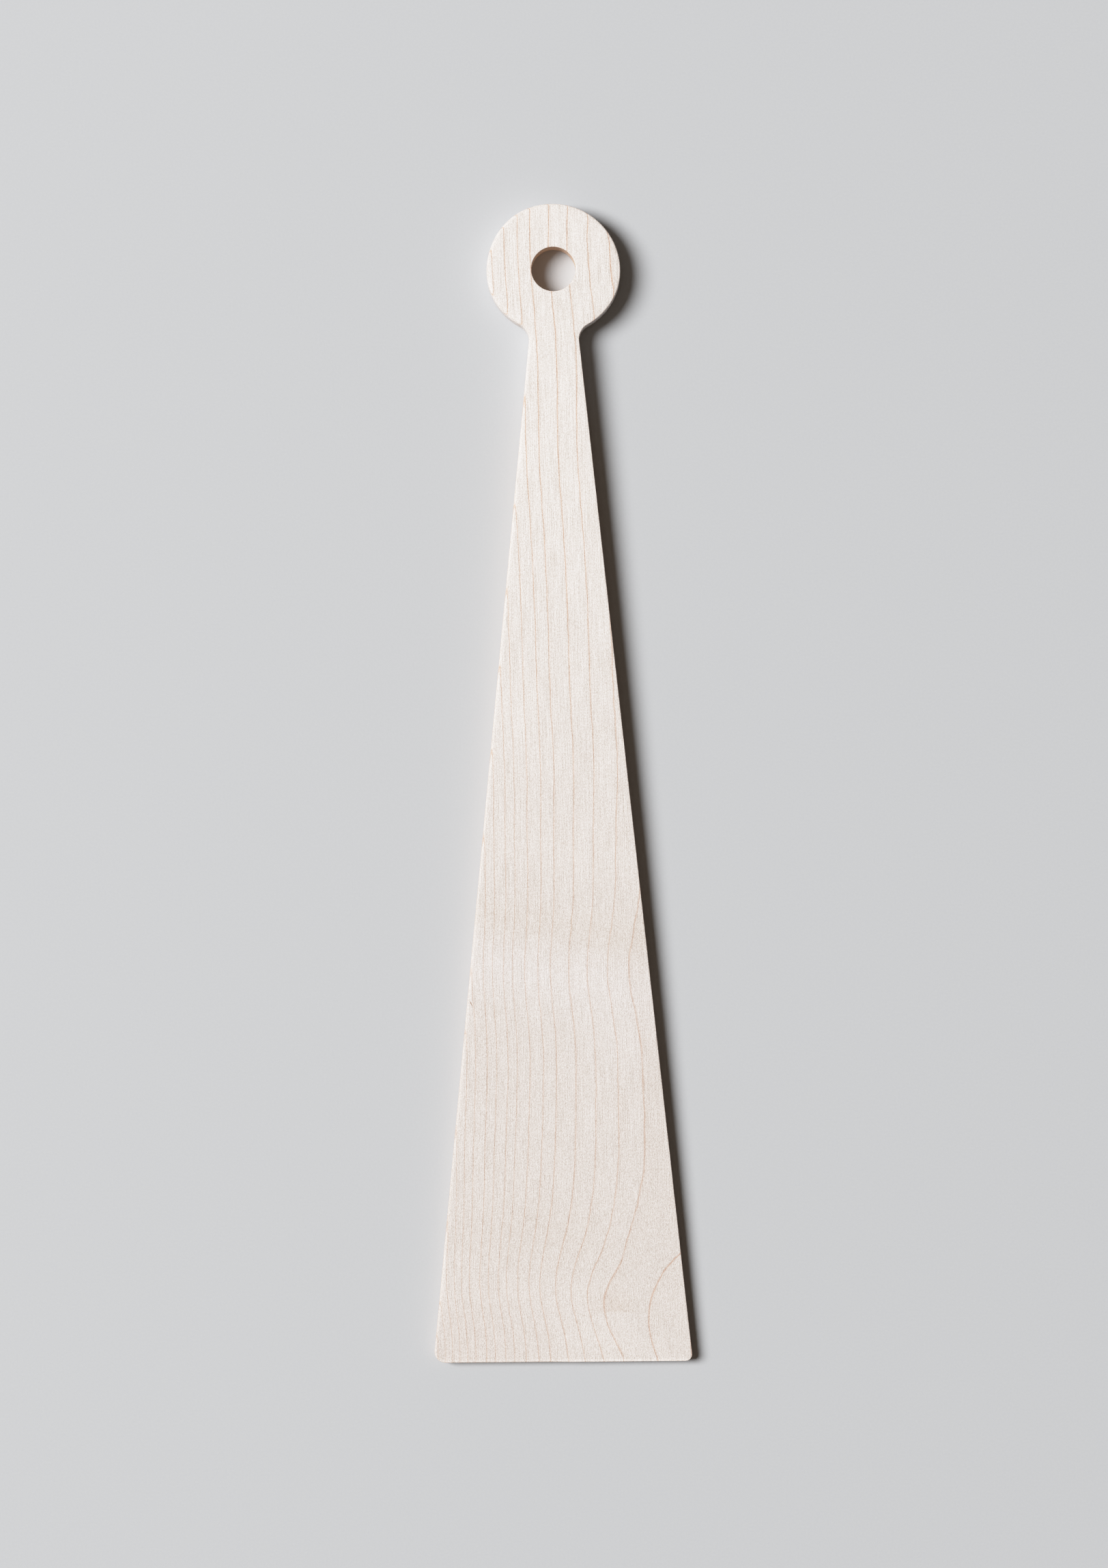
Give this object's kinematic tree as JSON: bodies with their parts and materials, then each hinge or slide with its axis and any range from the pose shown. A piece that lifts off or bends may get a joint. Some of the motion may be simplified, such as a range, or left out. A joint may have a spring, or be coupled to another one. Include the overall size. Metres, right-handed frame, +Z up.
{
  "type": "spatula",
  "caption": "Flat wooden kitchen spatula: a straight-sided blade that thins to a broad tip, narrow neck and round head with a hanging hole.",
  "frame": {"origin": "on the underside, at the middle of the length and of the width", "axes": "+Y along the length from the blade's tip to the hanging head, +Z up out of the planed upper face, +X across the blade to the right as seen from above"},
  "size_m": [0.0735, 0.33, 0.0083],
  "materials": {
    "maple": "bare sanded pale maple, matt with a slight sheen along the grain"
  },
  "bodies": {
    "root": {"spatula_body": "maple"}
  },
  "joints": []
}
